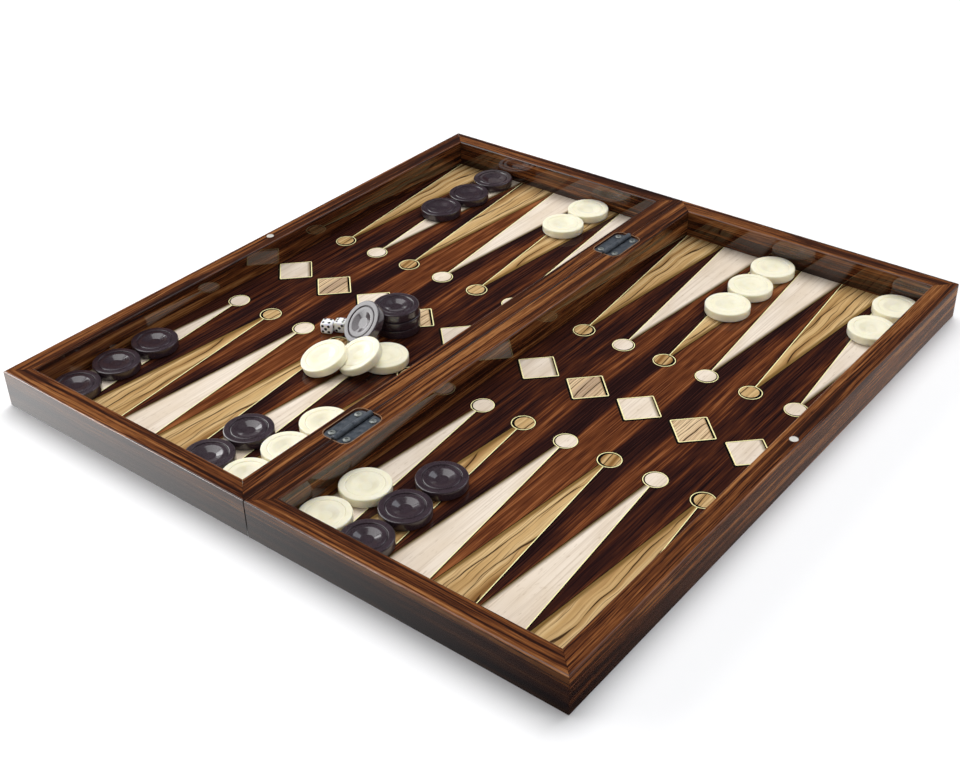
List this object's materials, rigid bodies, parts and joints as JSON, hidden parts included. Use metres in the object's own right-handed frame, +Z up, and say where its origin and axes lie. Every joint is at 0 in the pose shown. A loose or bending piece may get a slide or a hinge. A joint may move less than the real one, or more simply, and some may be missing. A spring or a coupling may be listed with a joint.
{
  "type": "backgammon set",
  "caption": "Folding wooden backgammon board laid open, two hinged tray halves with mitred rails, with ring-turned checkers and dice in play.",
  "frame": {"origin": "on the table under the middle of the open board, on the hinge line", "axes": "+X across the two halves towards the right one, +Y along the hinge line towards the far end, +Z up"},
  "size_m": [0.48, 0.5, 0.0348],
  "materials": {
    "rail_wood": "gloss lacquered walnut",
    "panel_wood": "satin lacquered walnut veneer",
    "field_wood": "gloss lacquered dark veneer with inlaid points",
    "hinge_metal": "blackened",
    "screw_metal": "darkened",
    "magnet_metal": "plated",
    "checker_dark": "polished",
    "checker_cream": "polished ivory colour",
    "die_white": "polished"
  },
  "bodies": {
    "right_half": {"rail_outer_right": "rail_wood", "rail_hinge_right": "rail_wood", "rail_near_right": "rail_wood", "rail_far_right": "rail_wood", "panel_right": "panel_wood", "field_right": "field_wood", "leaf_near_right": "hinge_metal", "leaf_far_right": "hinge_metal", "pin_near": "screw_metal", "pin_far": "screw_metal", "screw_near_right_1": "screw_metal", "screw_near_right_2": "screw_metal", "screw_far_right_1": "screw_metal", "screw_far_right_2": "screw_metal", "magnet_right": "magnet_metal"},
    "left_half": {"rail_outer_left": "rail_wood", "rail_hinge_left": "rail_wood", "rail_near_left": "rail_wood", "rail_far_left": "rail_wood", "panel_left": "panel_wood", "field_left": "field_wood", "leaf_near_left": "hinge_metal", "leaf_far_left": "hinge_metal", "screw_near_left_1": "screw_metal", "screw_near_left_2": "screw_metal", "screw_far_left_1": "screw_metal", "screw_far_left_2": "screw_metal", "magnet_left": "magnet_metal"},
    "dark_01": {"checker_dark_01": "checker_dark"},
    "dark_02": {"checker_dark_02": "checker_dark"},
    "dark_03": {"checker_dark_03": "checker_dark"},
    "dark_04": {"checker_dark_04": "checker_dark"},
    "dark_05": {"checker_dark_05": "checker_dark"},
    "dark_06": {"checker_dark_06": "checker_dark"},
    "dark_07": {"checker_dark_07": "checker_dark"},
    "dark_08": {"checker_dark_08": "checker_dark"},
    "dark_09": {"checker_dark_09": "checker_dark"},
    "dark_10": {"checker_dark_10": "checker_dark"},
    "dark_11": {"checker_dark_11": "checker_dark"},
    "dark_12": {"checker_dark_12": "checker_dark"},
    "dark_13": {"checker_dark_13": "checker_dark"},
    "dark_14": {"checker_dark_14": "checker_dark"},
    "dark_15": {"checker_dark_15": "checker_dark"},
    "cream_01": {"checker_cream_01": "checker_cream"},
    "cream_02": {"checker_cream_02": "checker_cream"},
    "cream_03": {"checker_cream_03": "checker_cream"},
    "cream_04": {"checker_cream_04": "checker_cream"},
    "cream_05": {"checker_cream_05": "checker_cream"},
    "cream_06": {"checker_cream_06": "checker_cream"},
    "cream_07": {"checker_cream_07": "checker_cream"},
    "cream_08": {"checker_cream_08": "checker_cream"},
    "cream_09": {"checker_cream_09": "checker_cream"},
    "cream_10": {"checker_cream_10": "checker_cream"},
    "cream_11": {"checker_cream_11": "checker_cream"},
    "cream_12": {"checker_cream_12": "checker_cream"},
    "cream_13": {"checker_cream_13": "checker_cream"},
    "cream_14": {"checker_cream_14": "checker_cream"},
    "cream_15": {"checker_cream_15": "checker_cream"},
    "first_die": {"die_1": "die_white"},
    "second_die": {"die_2": "die_white"}
  },
  "joints": [
    {"name": "fold", "type": "hinge", "parent": "right_half", "child": "left_half", "pos_m": [0, 0, 0.02815], "axis": [0, -1, 0], "range_deg": [-180, 0]},
    {"name": "lift_dark_01", "type": "slide", "parent": "left_half", "child": "dark_01", "axis": [0, 0, 1], "range_m": [0, 0.035]},
    {"name": "lift_dark_02", "type": "slide", "parent": "left_half", "child": "dark_02", "axis": [0, 0, 1], "range_m": [0, 0.035]},
    {"name": "lift_dark_03", "type": "slide", "parent": "left_half", "child": "dark_03", "axis": [0, 0, 1], "range_m": [0, 0.035]},
    {"name": "lift_dark_04", "type": "slide", "parent": "left_half", "child": "dark_04", "axis": [0, 0, 1], "range_m": [0, 0.035]},
    {"name": "lift_dark_05", "type": "slide", "parent": "left_half", "child": "dark_05", "axis": [0, 0, 1], "range_m": [0, 0.035]},
    {"name": "lift_dark_06", "type": "slide", "parent": "left_half", "child": "dark_06", "axis": [0, 0, 1], "range_m": [0, 0.035]},
    {"name": "lift_dark_07", "type": "slide", "parent": "left_half", "child": "dark_07", "axis": [0, 0, 1], "range_m": [0, 0.035]},
    {"name": "lift_dark_08", "type": "slide", "parent": "left_half", "child": "dark_08", "axis": [0, 0, 1], "range_m": [0, 0.035]},
    {"name": "lift_dark_09", "type": "slide", "parent": "right_half", "child": "dark_09", "axis": [0, 0, 1], "range_m": [0, 0.035]},
    {"name": "lift_dark_10", "type": "slide", "parent": "right_half", "child": "dark_10", "axis": [0, 0, 1], "range_m": [0, 0.035]},
    {"name": "lift_dark_11", "type": "slide", "parent": "right_half", "child": "dark_11", "axis": [0, 0, 1], "range_m": [0, 0.035]},
    {"name": "lift_dark_12", "type": "slide", "parent": "left_half", "child": "dark_12", "axis": [0, 0, 1], "range_m": [0, 0.035]},
    {"name": "lift_dark_13", "type": "slide", "parent": "dark_12", "child": "dark_13", "axis": [0, 0, 1], "range_m": [0, 0.035]},
    {"name": "lift_dark_14", "type": "slide", "parent": "dark_13", "child": "dark_14", "axis": [0, 0, 1], "range_m": [0, 0.035]},
    {"name": "lift_dark_15", "type": "slide", "parent": "dark_14", "child": "dark_15", "axis": [0, 0, 1], "range_m": [0, 0.035]},
    {"name": "lift_cream_01", "type": "slide", "parent": "left_half", "child": "cream_01", "axis": [0, 0, 1], "range_m": [0, 0.035]},
    {"name": "lift_cream_02", "type": "slide", "parent": "left_half", "child": "cream_02", "axis": [0, 0, 1], "range_m": [0, 0.035]},
    {"name": "lift_cream_03", "type": "slide", "parent": "left_half", "child": "cream_03", "axis": [0, 0, 1], "range_m": [0, 0.035]},
    {"name": "lift_cream_04", "type": "slide", "parent": "left_half", "child": "cream_04", "axis": [0, 0, 1], "range_m": [0, 0.035]},
    {"name": "lift_cream_05", "type": "slide", "parent": "left_half", "child": "cream_05", "axis": [0, 0, 1], "range_m": [0, 0.035]},
    {"name": "lift_cream_06", "type": "slide", "parent": "right_half", "child": "cream_06", "axis": [0, 0, 1], "range_m": [0, 0.035]},
    {"name": "lift_cream_07", "type": "slide", "parent": "right_half", "child": "cream_07", "axis": [0, 0, 1], "range_m": [0, 0.035]},
    {"name": "lift_cream_08", "type": "slide", "parent": "right_half", "child": "cream_08", "axis": [0, 0, 1], "range_m": [0, 0.035]},
    {"name": "lift_cream_09", "type": "slide", "parent": "right_half", "child": "cream_09", "axis": [0, 0, 1], "range_m": [0, 0.035]},
    {"name": "lift_cream_10", "type": "slide", "parent": "right_half", "child": "cream_10", "axis": [0, 0, 1], "range_m": [0, 0.035]},
    {"name": "lift_cream_11", "type": "slide", "parent": "right_half", "child": "cream_11", "axis": [0, 0, 1], "range_m": [0, 0.035]},
    {"name": "lift_cream_12", "type": "slide", "parent": "right_half", "child": "cream_12", "axis": [0, 0, 1], "range_m": [0, 0.035]},
    {"name": "lift_cream_13", "type": "slide", "parent": "left_half", "child": "cream_13", "axis": [0, 0, 1], "range_m": [0, 0.035]},
    {"name": "lift_cream_14", "type": "slide", "parent": "cream_13", "child": "cream_14", "axis": [0, 0, 1], "range_m": [0, 0.035]},
    {"name": "lift_cream_15", "type": "slide", "parent": "cream_14", "child": "cream_15", "axis": [0, 0, 1], "range_m": [0, 0.035]},
    {"name": "lift_die_1", "type": "slide", "parent": "left_half", "child": "first_die", "axis": [0, 0, 1], "range_m": [0, 0.035]},
    {"name": "lift_die_2", "type": "slide", "parent": "left_half", "child": "second_die", "axis": [0, 0, 1], "range_m": [0, 0.035]}
  ]
}
